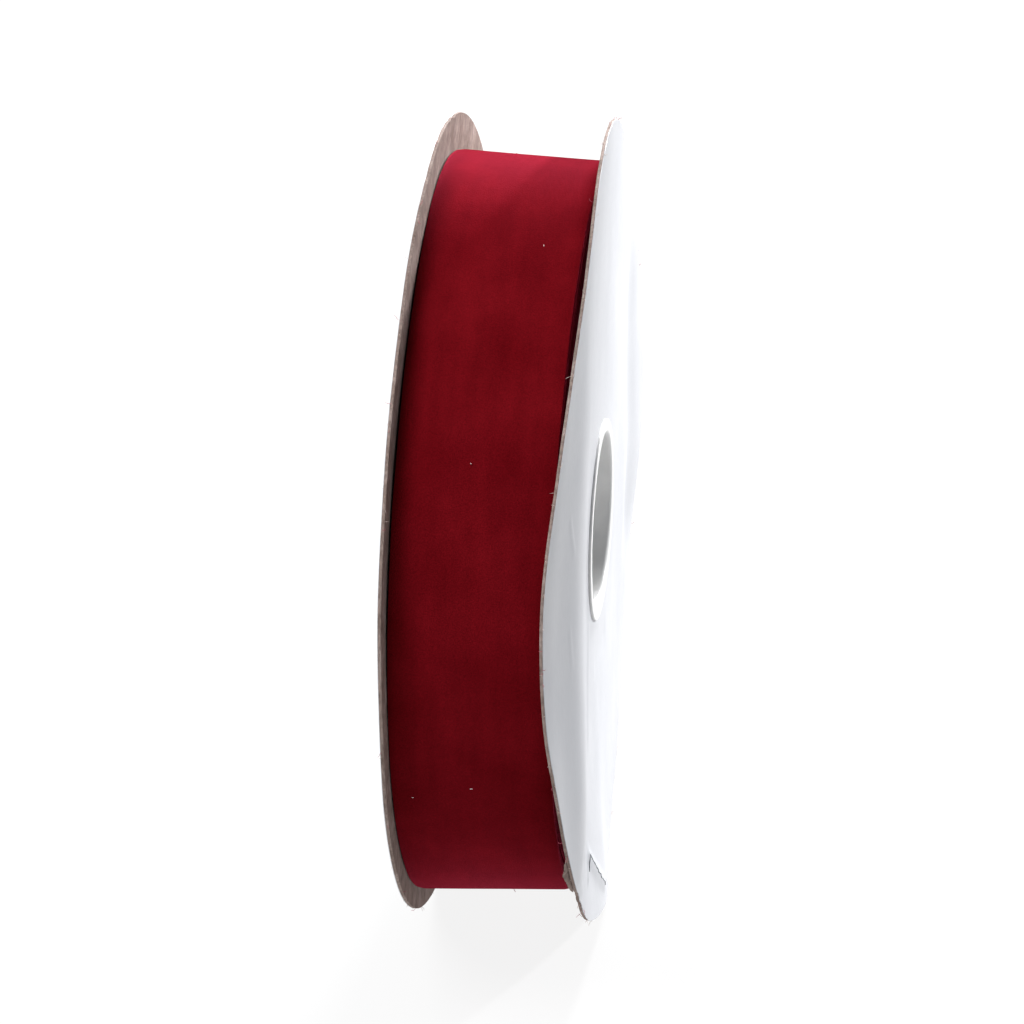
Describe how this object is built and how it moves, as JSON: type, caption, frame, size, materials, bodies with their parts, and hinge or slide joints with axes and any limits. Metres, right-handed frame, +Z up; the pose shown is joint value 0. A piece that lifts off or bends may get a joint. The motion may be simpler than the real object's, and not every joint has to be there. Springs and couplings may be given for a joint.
{
  "type": "ribbon spool",
  "caption": "Velvet ribbon wound between two round card flanges on a snap-together plastic hub, with a taped free end that lifts off the roll.",
  "frame": {"origin": "centre of the hub's bore, midway between the flanges", "axes": "+X along the bore axis towards the hub's spigot collar (the near flange); +Z up when the spool stands on its rims; -Y the front, opposite the ribbon's free end"},
  "size_m": [0.025, 0.12, 0.1198],
  "materials": {
    "chipboard": "matte",
    "coated_paper": "gloss",
    "hub_plastic": "satin",
    "kraft_board": "matte",
    "velvet": "matte",
    "clear_tape": "gloss"
  },
  "bodies": {
    "spool": {"near_flange_board": "chipboard", "near_flange_facing": "coated_paper", "far_flange_board": "chipboard", "far_flange_facing": "coated_paper", "hub_spigot": "hub_plastic", "hub_socket": "hub_plastic", "core_tube": "kraft_board", "start_tape": "clear_tape", "ribbon_roll": "velvet"},
    "tail": {"ribbon_tail": "velvet", "tail_tape": "clear_tape"}
  },
  "joints": [
    {"name": "tail_peel", "type": "hinge", "parent": "spool", "child": "tail", "pos_m": [0, 0.05293, 0.01418], "axis": [1, 0, 0], "range_deg": [0, 100]}
  ]
}
